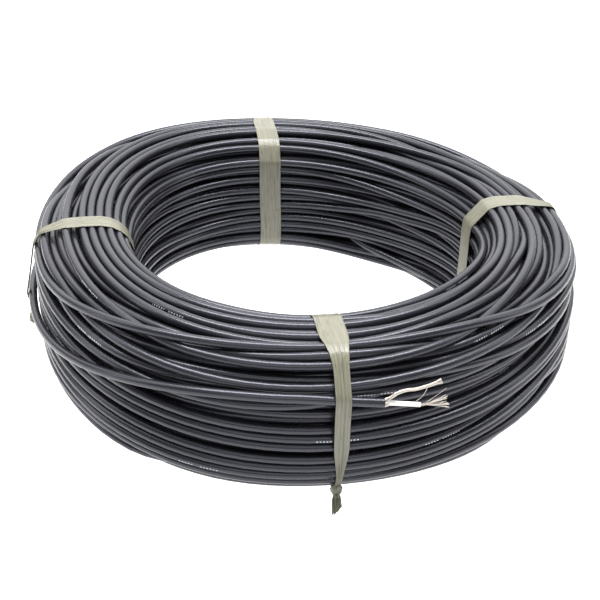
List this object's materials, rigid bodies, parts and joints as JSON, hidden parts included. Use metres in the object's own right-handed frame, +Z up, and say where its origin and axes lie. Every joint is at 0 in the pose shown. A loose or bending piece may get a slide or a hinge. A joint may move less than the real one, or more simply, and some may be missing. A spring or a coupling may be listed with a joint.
{
  "type": "shielded cable coil",
  "caption": "Coil of round grey shielded cable lying flat, held by film ties, with its free end stripped to show the screen, core and conductor.",
  "frame": {"origin": "middle of the footprint, on the floor the coil lies on", "axes": "+Z up along the coil's axis, -Y towards the front tie, which is turned 8.5 degrees towards +X"},
  "size_m": [0.2918, 0.3088, 0.078],
  "materials": {
    "jacket": "satin dark grey PVC",
    "core": "smooth white",
    "tinned_copper": "bright tinned wire",
    "film": "translucent creased film"
  },
  "bodies": {
    "root": {"cable_coil": "jacket", "cable_free_end": "jacket", "core_insulation": "core", "conductor_strands": "tinned_copper", "screen_pigtail": "tinned_copper", "tie_front": "film", "tie_right": "film", "tie_back": "film", "tie_left": "film"}
  },
  "joints": []
}
